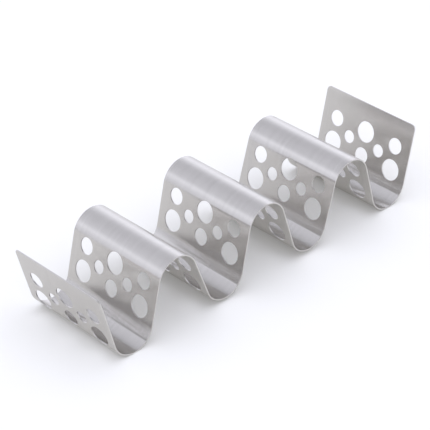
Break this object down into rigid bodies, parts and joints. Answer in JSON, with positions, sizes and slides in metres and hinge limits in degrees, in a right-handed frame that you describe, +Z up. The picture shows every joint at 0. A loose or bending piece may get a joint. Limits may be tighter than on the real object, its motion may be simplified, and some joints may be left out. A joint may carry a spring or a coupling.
{
  "type": "taco holder",
  "caption": "One strip of satin stainless sheet folded into a wave, whose round valleys hold folded tortillas upright, with round holes in its walls.",
  "frame": {"origin": "middle of the holder's length and width, on the surface that it stands on", "axes": "+X along the row of valleys from the near end to the far end, +Y across the strip, +Z up"},
  "size_m": [0.3426, 0.1, 0.0678],
  "materials": {
    "sheet": "satin, brushed along the strip's length"
  },
  "bodies": {
    "root": {"folded_sheet": "sheet"}
  },
  "joints": []
}
